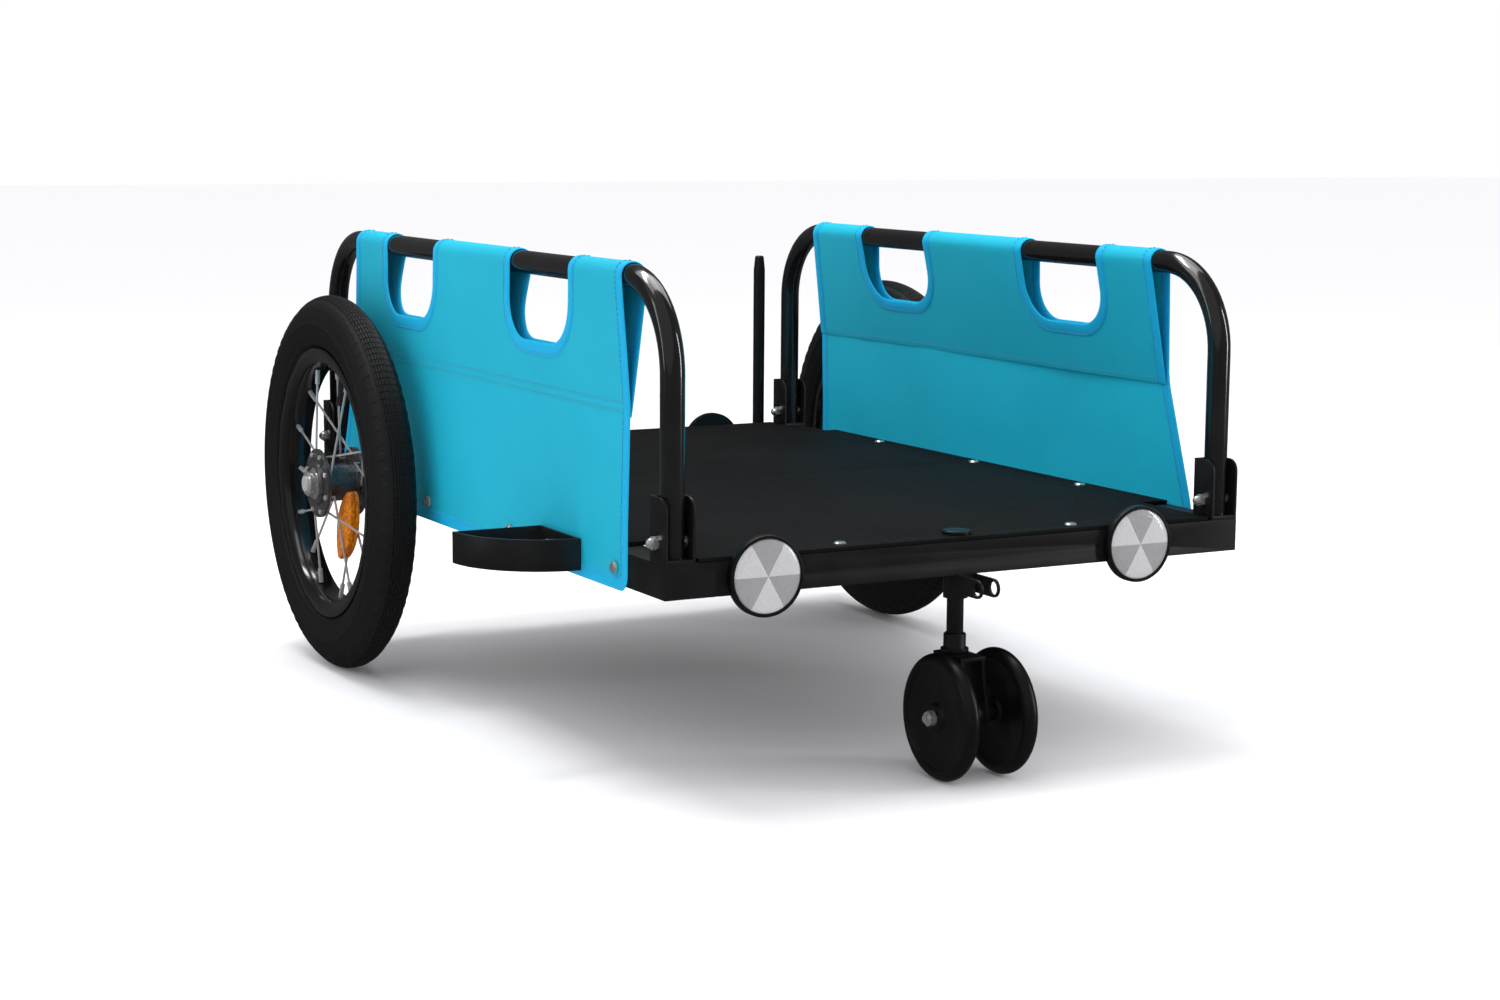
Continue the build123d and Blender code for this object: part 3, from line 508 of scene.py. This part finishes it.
def inward(path, closed):
    """Direction into the cloth at each point of a path that has the cloth on its left."""
    count = len(path)
    ways = []
    for i in range(count):
        before = path[(i - 1) % count] if closed or i else path[i]
        after = path[(i + 1) % count] if closed or i < count - 1 else path[i]
        along = (Vector(after) - Vector(before)).normalized()
        ways.append(Vector((-along.y, along.x)))
    return ways


def respaced(path, gap, closed):
    """The same path with its points about gap apart."""
    ring = path + [path[0]] if closed else path
    runs = [0.0]
    for a, b in zip(ring, ring[1:]):
        runs.append(runs[-1] + math.dist(a, b))
    count = max(2, round(runs[-1] / gap))
    spaced = []
    leg = 0
    for k in range(count if closed else count + 1):
        target = runs[-1] * k / count
        while leg < len(runs) - 2 and runs[leg + 1] < target:
            leg += 1
        share = (target - runs[leg]) / max(1e-9, runs[leg + 1] - runs[leg])
        spaced.append(tuple(Vector(ring[leg]).lerp(Vector(ring[leg + 1]), share)))
    return spaced


half_tape = tape_thickness / 2
half_section = [(tape_width, 0.7 * half_tape), (tape_width - 0.0005, half_tape),
                (0.0012, half_tape), (0.0001, 0.8 * half_tape)]
tape_section = half_section + [(-0.0006, 0.0)] + [(d, -h) for d, h in half_section[::-1]]
tape_gap = 0.0021


def tape(side, paths):
    """Binding tape folded over the cloth's edge along each (path, closed)."""
    points = []
    faces = []
    marks = []
    count = len(tape_section)
    for path, closed in paths:
        path = respaced(path, tape_gap, closed)
        start = len(points)
        run = 0.0
        for i, (spot, way) in enumerate(zip(path, inward(path, closed))):
            run += math.dist(spot, path[i - 1]) if i else 0.0
            for d, h in tape_section:
                y, s = Vector(spot) + way * d
                points.append(fold(side, y, s, h + billow(side, y, s)))
                marks.append((run, d))
        stations = len(path)
        for i in range(stations if closed else stations - 1):
            j = (i + 1) % stations
            for k in range(count):
                m = (k + 1) % count
                corners = [start + i * count + k, start + i * count + m,
                           start + j * count + m, start + j * count + k]
                faces.append(corners if side > 0 else corners[::-1])
        if not closed:
            first = list(range(start, start + count))
            last = list(range(start + (stations - 1) * count, start + stations * count))
            faces.append(first[::-1] if side > 0 else first)
            faces.append(last if side > 0 else last[::-1])
    piece = loose_mesh(side_name[side] + "_cloth_binding", points, faces)
    lay_weave(piece, marks)
    face_outward(piece)
    bpy.ops.object.shade_smooth_by_angle(angle=math.radians(45))
    return piece


stitch_length = 0.0026
stitch_pitch = 0.0036
thread = 0.00028
# share of the stitch's length, and lift in thread radii
stitch_arc = ((0.0, -0.6), (0.18, 0.55), (0.5, 0.8), (0.82, 0.55), (1.0, -0.6))


def stitches(side, rows):
    """Machine stitches along each (path, closed, height above the middle of the cloth)."""
    points = []
    faces = []
    for path, closed, height in rows:
        path = respaced(path, stitch_pitch, closed)
        outward = 1 if height > 0 else -1
        for i in range(len(path) if closed else len(path) - 1):
            here = Vector(path[i])
            along = (Vector(path[(i + 1) % len(path)]) - here).normalized()
            across = Vector((-along.y, along.x))
            start = len(points)
            for share, lift in stitch_arc:
                middle = here + along * stitch_length * share
                wide = thread * (0.7 if share in (0.0, 1.0) else 1.0)
                for over, up in ((-1, 0.0), (0, 1.0), (1, 0.0), (0, -1.0)):
                    y, s = middle + across * wide * over
                    h = height + outward * thread * (lift + up)
                    points.append(fold(side, y, s, h + billow(side, y, s)))
            for j in range(4):
                for k in range(4):
                    m = (k + 1) % 4
                    faces.append((start + j * 4 + k, start + j * 4 + m, start + j * 4 + 4 + m,
                                  start + j * 4 + 4 + k))
            faces.append((start, start + 1, start + 2, start + 3))
            faces.append((start + 19, start + 18, start + 17, start + 16))
    piece = loose_mesh(side_name[side] + "_cloth_stitching", points, faces)
    face_outward(piece)
    bpy.ops.object.shade_smooth_by_angle(angle=math.radians(60))
    return piece


def oxford(name, low, high, tight):
    """Plain-woven cloth: two sets of threads crossing, with faint streaks where the yarn varies."""
    finish = Finish(name, roughness=0.75, specular_ior_level=0.12, subsurface_weight=0.2,
                    subsurface_scale=0.004, subsurface_radius=(0.3, 1.0, 1.0))
    place = finish.cloth_place()
    u = finish.axis(place, "X")
    v = finish.axis(place, "Y")
    warp = (u * tight).math("SINE")
    weft = (v * tight).math("SINE")
    crossing = warp * weft
    drawn_out = finish.node("Mapping", inputs={"Vector": place, "Scale": (60.0, 1600.0, 1.0)})
    streaks = finish.node("TexNoise", inputs={"Vector": drawn_out, "Scale": 1.0, "Detail": 2.0})
    clouds = finish.noise(11.0, 4.0)
    shade = clouds * 0.35 + streaks * 0.4 + crossing * 0.14 + 0.1
    finish.colour(finish.span(shade, 0.2, 0.8), low, high)
    finish.set("Roughness", finish.span(streaks, 0.2, 0.8, 0.62, 0.8))
    finish.relief(crossing * 0.5 + streaks * 0.5, 0.00012)
    return finish


cloth_finish = oxford("blue_oxford_cloth", (0.005, 0.295, 0.425, 1.0),
                      (0.010, 0.385, 0.535, 1.0), 5200.0)
tape_finish = oxford("blue_binding_tape", (0.004, 0.300, 0.530, 1.0),
                     (0.008, 0.385, 0.660, 1.0), 7800.0)
thread_finish = Finish("blue_thread", roughness=0.55, sheen_weight=0.2)
ply = thread_finish.noise(2600.0, 1.0)
thread_finish.colour(ply, (0.004, 0.180, 0.310, 1.0), (0.009, 0.260, 0.430, 1.0))

half_cloth = cloth_thickness / 2
seam_rows = (outer_run(seam_height), outer_run(seam_height + row_gap), cloth_length - hem_row)
heights = [0.0, 0.0005, 0.0015, 0.003, 0.005, 0.0075]
heights += [cloth_length * i / 200 for i in range(201) if cloth_length * i / 200 > 0.009]
for side, slanted_end in ((1, 1), (-1, -1)):
    cloth, cut_area = make_cloth(side, slanted_end)
    take_finish(cloth, cloth_finish)
    edge_paths = []
    stitch_rows = []
    for way in (-1, 1):
        middle = way * (hole_near + hole_far) / 2
        # walked clockwise, so that the cloth is on the left
        loop = [(middle + y, s) for y, s in hole_outline()][::-1]
        edge_paths.append((loop, True))
        sewn = [(middle + y, s) for y, s in hole_outline(stitch_inset)][::-1]
        stitch_rows.append((sewn, True, half_tape))
        stitch_rows.append((sewn, True, -half_tape))
    front = [(-end_of_cloth(s, slanted_end < 0), s) for s in heights]
    rear = [(end_of_cloth(s, slanted_end > 0), s) for s in heights]
    border = front[::-1] + rear
    edge_paths.append((border, False))
    ways = inward(border, False)
    sewn = [tuple(Vector(spot) + way * stitch_inset) for spot, way in zip(border, ways)]
    stitch_rows.append((sewn, False, half_tape))
    stitch_rows.append((sewn, False, -half_tape))
    for s in seam_rows:
        reach_front = end_of_cloth(s, slanted_end < 0) - tape_width
        reach_rear = end_of_cloth(s, slanted_end > 0) - tape_width
        stitch_rows.append(([(-reach_front, s), (reach_rear, s)], False, half_cloth))
    binding = tape(side, edge_paths)
    take_finish(binding, tape_finish)
    sewing = stitches(side, stitch_rows)
    take_finish(sewing, thread_finish)
    panel = side_name[side] + "_panel"
    for piece in (cloth, binding, sewing):
        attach(piece, "frame")
    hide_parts(panel)

# ---------------------------------------------------------------------------------------------
# Tyres: black rubber on a wired bead, with a smooth side, two moulded rings and a low block
# tread of short rows across the crown. Each runs on a gloss black steel rim.
# ---------------------------------------------------------------------------------------------

rubber = Finish("tyre_rubber", roughness=0.62, specular_ior_level=0.25)
bloom = rubber.noise(14.0, 5.0)
rubber.colour(bloom, grey(0.0055), grey(0.0090))
rubber.set("Roughness", rubber.noise(60.0, 4.0) * 0.25 + 0.45)
rubber.relief(rubber.noise(1500.0, 3.0), 0.00006)

tyre_low, tyre_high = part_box("right_tyre")
wheel_middle = (tyre_low + tyre_high) / 2
tyre_radius = (tyre_high.z - tyre_low.z) / 2
tyre_half_width = (tyre_high.x - tyre_low.x) / 2
bead_radius = 0.1085
block_height = 0.0008
block_rows = 156
moulded_rings = (0.1185, 0.1345)
section_radius = (tyre_radius - block_height - bead_radius) / 2
section_middle = bead_radius + section_radius


def faces_where(piece, wanted):
    """Selects only the faces that wanted(centre, normal) picks, and leaves edit mode on."""
    bpy.ops.object.mode_set(mode="OBJECT")
    for part in (piece.data.vertices, piece.data.edges):
        part.foreach_set("select", [False] * len(part))
    faces = piece.data.polygons
    faces.foreach_set("select", [bool(wanted(face.center, face.normal)) for face in faces])
    bpy.ops.object.mode_set(mode="EDIT")
    bpy.ops.mesh.select_mode(type="FACE")


def wheel_radius_at(place):
    return math.hypot(place.y - wheel_middle.y, place.z - wheel_middle.z)


clear_selection()
section_place = (wheel_middle.x, wheel_middle.y, wheel_middle.z + section_middle)
bpy.ops.mesh.primitive_circle_add(vertices=52, radius=1.0, rotation=(math.radians(90), 0, 0),
                                  location=section_place)
right_tyre = bpy.context.object
right_tyre.name = "right_tyre_moulded"
right_tyre.scale = (tyre_half_width - 0.0005, section_radius, 1.0)
bpy.ops.object.transform_apply(location=True, rotation=True, scale=True)
bpy.ops.object.mode_set(mode="EDIT")
bpy.ops.mesh.select_all(action="SELECT")
bpy.ops.mesh.spin(steps=block_rows, angle=math.radians(360), center=wheel_middle, axis=(1, 0, 0))
bpy.ops.mesh.select_all(action="SELECT")
bpy.ops.mesh.remove_doubles(threshold=0.0001)
bpy.ops.mesh.normals_make_consistent(inside=False)
crown = section_middle + section_radius * 0.86
shoulder = section_middle + section_radius * 0.52


def every_other_row(centre, normal):
    """Picks the shoulder's faces in every other row round the tyre."""
    turn = math.degrees(math.atan2(centre.z - wheel_middle.z, centre.y - wheel_middle.y))
    on_shoulder = shoulder < wheel_radius_at(centre) < crown - 0.0002
    return on_shoulder and round(turn / (360 / block_rows) - 0.5) % 2


faces_where(right_tyre, lambda centre, normal: wheel_radius_at(centre) > crown)
bpy.ops.mesh.inset(thickness=0.0007, depth=block_height, use_individual=True)
faces_where(right_tyre, every_other_row)
bpy.ops.mesh.inset(thickness=0.0006, depth=block_height * 0.5, use_individual=False)
for ring in moulded_rings:
    faces_where(right_tyre, lambda centre, normal:
                abs(wheel_radius_at(centre) - ring) < 0.0016 and abs(normal.x) > 0.3)
    bpy.ops.mesh.inset(thickness=0.0006, depth=0.0004, use_individual=False)
bpy.ops.object.mode_set(mode="OBJECT")
bpy.ops.object.shade_smooth_by_angle(angle=math.radians(32))
take_finish(right_tyre, rubber)


def mirrored(piece, name):
    """The same piece for the other side of the cart."""
    twin = placed(name, piece.data.copy())
    twin.data.transform(Matrix.Scale(-1, 4, (1, 0, 0)))
    twin.data.flip_normals()
    return twin


left_tyre = mirrored(right_tyre, "left_tyre_moulded")
for name, piece in (("right", right_tyre), ("left", left_tyre)):
    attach(piece, name + "_wheel")
    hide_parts(name + "_tyre")

# ---------------------------------------------------------------------------------------------
# Wheels: rolled steel rims in gloss black, bright steel spokes laced one-cross from pressed hub
# shells, and an inner tube whose valve shows between two spokes.
# ---------------------------------------------------------------------------------------------

rim_coat = Finish("gloss_black_rim", roughness=0.18, coat_weight=0.4, coat_roughness=0.05)
rim_coat.colour(rim_coat.noise(30.0, 4.0), grey(0.003), grey(0.006))
rim_coat.set("Roughness", rim_coat.noise(80.0, 4.0) * 0.15 + 0.12)
bright_steel = Finish("bright_spoke_steel", roughness=0.2, metallic=0.6)
drawn = bright_steel.noise(500.0, 2.0)
bright_steel.colour(drawn, (0.42, 0.38, 0.37, 1.0), (0.72, 0.69, 0.68, 1.0))
bright_steel.set("Roughness", drawn * 0.15 + 0.12)
hub_plate = Finish("dark_hub_plate", roughness=0.22, metallic=0.8)
tarnish = hub_plate.noise(120.0, 4.0)
hub_plate.colour(tarnish, grey(0.07), grey(0.20))
hub_plate.set("Roughness", tarnish * 0.25 + 0.16)
tube_rubber = Finish("valve_rubber", roughness=0.6)
tube_rubber.colour(tube_rubber.noise(200.0), grey(0.008), grey(0.014))
moulded_black = Finish("moulded_black_plastic", roughness=0.4, specular_ior_level=0.3)
moulded_black.colour(moulded_black.noise(40.0, 4.0), grey(0.0028), grey(0.0055))
moulded_black.set("Roughness", moulded_black.noise(300.0, 3.0) * 0.2 + 0.28)
moulded_black.relief(moulded_black.noise(1600.0, 2.0), 0.00003)
satin_grey = Finish("satin_grey_button", roughness=0.3)
satin_grey.colour(satin_grey.noise(400.0), grey(0.26), grey(0.36))
satin_grey.set("Roughness", satin_grey.noise(900.0) * 0.2 + 0.22)
for name in ("left", "right"):
    finished_copy(name + "_rim", rim_coat, 0.0005)
    finished_copy(name + "_spokes", bright_steel)
    finished_copy(name + "_hub_shell", hub_plate, 0.0003)
    finished_copy(name + "_inner_tube", tube_rubber)
    finished_copy(name + "_release_button", satin_grey)
finished_copy("stem_cap", moulded_black)
finished_copy("flag_mast", moulded_black)

# ---------------------------------------------------------------------------------------------
# Spoke reflectors: two amber shells clipped together over the spokes of each wheel, with a field
# of small moulded prisms behind a clear polished face and a groove where the shells meet.
# ---------------------------------------------------------------------------------------------

amber = Finish("amber_prism", roughness=0.1, coat_weight=0.7, coat_roughness=0.03,
               specular_ior_level=0.4, transmission_weight=0.3, ior=1.49)
cells = amber.node("TexVoronoi", inputs={"Vector": amber.place(), "Scale": 380.0})
depth_tint = amber.span(cells * 0.6 + amber.noise(45.0, 2.0) * 0.6, 0.25, 0.75)
amber.colour(depth_tint, (0.42, 0.060, 0.001, 1.0), (0.90, 0.30, 0.006, 1.0))
amber.set("Roughness", cells * 0.16 + 0.06)
amber.relief(cells, 0.0005)
for name in ("left", "right"):
    finished_copy(name + "_wheel_reflector", amber, crease=38.0)

# ---------------------------------------------------------------------------------------------
# Round reflectors: black moulded cups bolted to the end rails, with a domed lens in six sectors
# whose prisms lean alternately. The light and dark this gives the sectors is painted into the
# lens colour as painted light and painted shade. Clear in front, red behind; the clear front lens
# is painted a silvery grey for the reflection in its prisms.
# ---------------------------------------------------------------------------------------------


def dimmed(colour, share):
    return tuple(share * part for part in colour[:3]) + (1.0,)


def prism_lens(name, middle, reach, height, dark, light):
    """Lens finish in six alternating sectors about the two centres, reach from the middle: painted
    light in one set of sectors and painted shade in the other.
    """
    finish = Finish(name, roughness=0.3, coat_weight=0.8, coat_roughness=0.04)
    place = finish.place()
    across = (finish.axis(place, "X") - middle).math("ABSOLUTE") - reach
    up = finish.axis(place, "Z") - height
    sector = (up.math("ARCTAN2", across) * (3 / math.pi) + 6.0).math("FLOOR").math("MODULO", 2.0)
    prisms = finish.node("TexVoronoi", {"feature": "F1"}, {"Vector": place, "Scale": 420.0})
    # painted light and shade: the lit sectors take the light colour, the shaded ones the dark, each
    # dimmed a little over every prism cell
    lit_sectors = finish.blend(finish.span(prisms, 0.0, 0.8), light, dimmed(light, 0.9))
    shaded = finish.blend(finish.span(prisms, 0.0, 0.8), dark, dimmed(dark, 0.88))
    finish.colour(sector, lit_sectors, shaded)
    finish.set("Roughness", prisms * 0.25 + 0.22)
    finish.relief(prisms, 0.00015)
    return finish


def sector_picker(centre, first, radius):
    """Picks a lens's front faces in the 60 degrees from first, less than radius from its centre."""
    def picked(place, normal):
        turn = math.degrees(math.atan2(place.z - centre.z, place.x - centre.x))
        across = math.hypot(place.x - centre.x, place.z - centre.z)
        return first < turn < first + 60 and across < radius and abs(normal.y) > 0.9
    return picked


dome_rise = 0.0016
dome_steps = ((0.0006, 0.0003), (0.0034, 0.0011), (0.0005, 0.0))
field_margin = 0.0043
seat = 0.0022
# front lens painted a silvery grey for its prisms' reflection, rear lens red; each pair is the
# painted shade and painted light of the sectors
for group, way, painted_sector_tones in (("front", -1, (grey(0.275), grey(0.475))),
                            ("rear", 1, ((0.20, 0.004, 0.004, 1), (0.42, 0.010, 0.008, 1)))):
    finished_copy(group + "_reflector_housings", moulded_black, 0.0004)
    low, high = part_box(group + "_reflector_lenses")
    lens_radius = (high.z - low.z) / 2
    height = (low.z + high.z) / 2
    middle = (low.x + high.x) / 2
    reach = (high.x - low.x) / 2 - lens_radius
    depth = high.y - low.y
    front_face = low.y if way < 0 else high.y
    lens_finish = prism_lens(group + "_prism_lens", middle, reach, height, *painted_sector_tones)
    pair = []
    for side in (-1, 1):
        clear_selection()
        bpy.ops.mesh.primitive_circle_add(
            vertices=96, radius=lens_radius, fill_type="TRIFAN",
            rotation=(math.radians(-90 * way), 0, 0),
            location=(middle + side * reach, front_face - way * dome_rise, height))
        lens = bpy.context.object
        centre = lens.location.copy()
        bpy.ops.object.transform_apply(location=True, rotation=True, scale=True)
        bpy.ops.object.mode_set(mode="EDIT")
        bpy.ops.mesh.select_all(action="SELECT")
        for width, rise in dome_steps:
            bpy.ops.mesh.inset(thickness=width, depth=rise)
        for first in range(-180, 180, 60):
            faces_where(lens, sector_picker(centre, first, lens_radius - field_margin))
            bpy.ops.mesh.inset(thickness=0.00030, depth=0.00020)
        faces_where(lens, lambda centre, normal: False)
        bpy.ops.mesh.select_mode(type="EDGE")
        bpy.ops.mesh.select_non_manifold(extend=False)
        back = (0, -way * (depth - seat), 0)
        bpy.ops.mesh.extrude_region_move(TRANSFORM_OT_translate={"value": back})
        bpy.ops.mesh.edge_face_add()
        bpy.ops.object.mode_set(mode="OBJECT")
        pair.append(lens)
    only(pair[0])
    pair[1].select_set(True)
    bpy.ops.object.join()
    lens = bpy.context.object
    lens.name = group + "_lenses"
    face_outward(lens)
    rounding = lens.modifiers.new("rounding", "BEVEL")
    rounding.width = 0.00025
    rounding.segments = 2
    rounding.angle_limit = math.radians(30)
    bpy.ops.object.modifier_apply(modifier="rounding")
    bpy.ops.object.shade_smooth_by_angle(angle=math.radians(40))
    take_finish(lens, lens_finish)
    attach(lens, "frame")
    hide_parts(group + "_reflector_lenses")

# ---------------------------------------------------------------------------------------------
# Caster wheels: a moulded disc with a rounded rubber tread pressed round it, two on one axle.
# ---------------------------------------------------------------------------------------------

tread_rubber = Finish("caster_tread_rubber", roughness=0.3, specular_ior_level=0.3)
tread_rubber.colour(tread_rubber.noise(50.0, 4.0), grey(0.0025), grey(0.0050))
tread_rubber.set("Roughness", tread_rubber.noise(90.0, 4.0) * 0.22 + 0.24)
for name in ("left", "right"):
    finished_copy(name + "_caster_wheel", moulded_black, 0.0006)
    finished_copy(name + "_caster_tyre", tread_rubber)

# ---------------------------------------------------------------------------------------------
# Studio: pale floor under soft light from above, the left and the camera's side.
# ---------------------------------------------------------------------------------------------

clear_selection()
bpy.ops.mesh.primitive_plane_add(size=30.0, location=(0, 0, -0.0005))
floor = bpy.context.object
floor.name = "floor"
floor.visible_glossy = False
floor_paint = Finish("pale_floor", roughness=0.9)
floor_paint.colour(floor_paint.noise(2.0), grey(0.925), grey(0.94))
take_finish(floor, floor_paint)

world = bpy.data.worlds.new("studio")
bpy.context.scene.world = world
world.use_nodes = True
sky = world.node_tree
white = (1.0, 1.0, 1.0, 1.0)
backdrop = sky.nodes["Background"]
backdrop.inputs["Color"].default_value = white
backdrop.inputs["Strength"].default_value = 1.03
rays = sky.nodes.new("ShaderNodeLightPath")
# reflections see a dark card, and the camera sees plain white
for seen, colour in (("Is Glossy Ray", grey(0.085)), ("Is Camera Ray", white)):
    card = sky.nodes.new("ShaderNodeBackground")
    card.inputs["Color"].default_value = colour
    swap = sky.nodes.new("ShaderNodeMixShader")
    sky.links.new(rays.outputs[seen], swap.inputs[0])
    sky.links.new(backdrop.outputs[0], swap.inputs[1])
    sky.links.new(card.outputs[0], swap.inputs[2])
    backdrop = swap
sky.links.new(backdrop.outputs[0], sky.nodes["World Output"].inputs[0])


def aimed(way):
    """Rotation that points a lamp's beam along way."""
    return Vector(way).to_track_quat("-Z", "Y").to_euler()


def soft_light(name, place, aim, size, watts):
    """Rectangular lamp of the given width and height in metres, turned to face aim."""
    lamp = bpy.data.lights.new(name, "AREA")
    lamp.shape = "RECTANGLE"
    lamp.size, lamp.size_y = size
    lamp.energy = watts
    holder = placed(name, lamp)
    holder.location = place
    holder.rotation_euler = aimed(Vector(aim) - Vector(place))


soft_light("left_strip", (-2.6, 0.4, 1.1), (0.0, 0.0, 0.25), (0.3, 1.9), 5.0)
soft_light("right_strip", (2.4, -1.9, 1.0), (0.0, 0.0, 0.25), (0.25, 1.9), 22.0)
soft_light("overhead", (-0.3, 0.9, 2.4), (0.0, 0.0, 0.2), (1.6, 0.35), 26.0)
for side in (-1, 1):
    soft_light("inside_fill", (side * -0.12, 0.0, 1.05), (side * 0.25, 0.0, 0.25),
               (0.5, 0.9), 2.8)
day = bpy.data.lights.new("day", "SUN")
day.energy = 0.35
day.angle = math.radians(100)
placed("day", day).rotation_euler = aimed((0.75, 0.45, -1.0))
bpy.context.scene.view_settings.view_transform = "Standard"

# camera at the left front corner, a little above the bar's height
camera = bpy.data.cameras.new("camera")
camera.lens = 63.02
camera.sensor_width = 36.0
stand = placed("camera", camera)
stand.location = (-1.01545, deck_middle - 1.88997, 0.46901)
stand.rotation_euler = [math.radians(turn) for turn in (81.673, -0.399, -28.378)]
bpy.context.scene.camera = stand
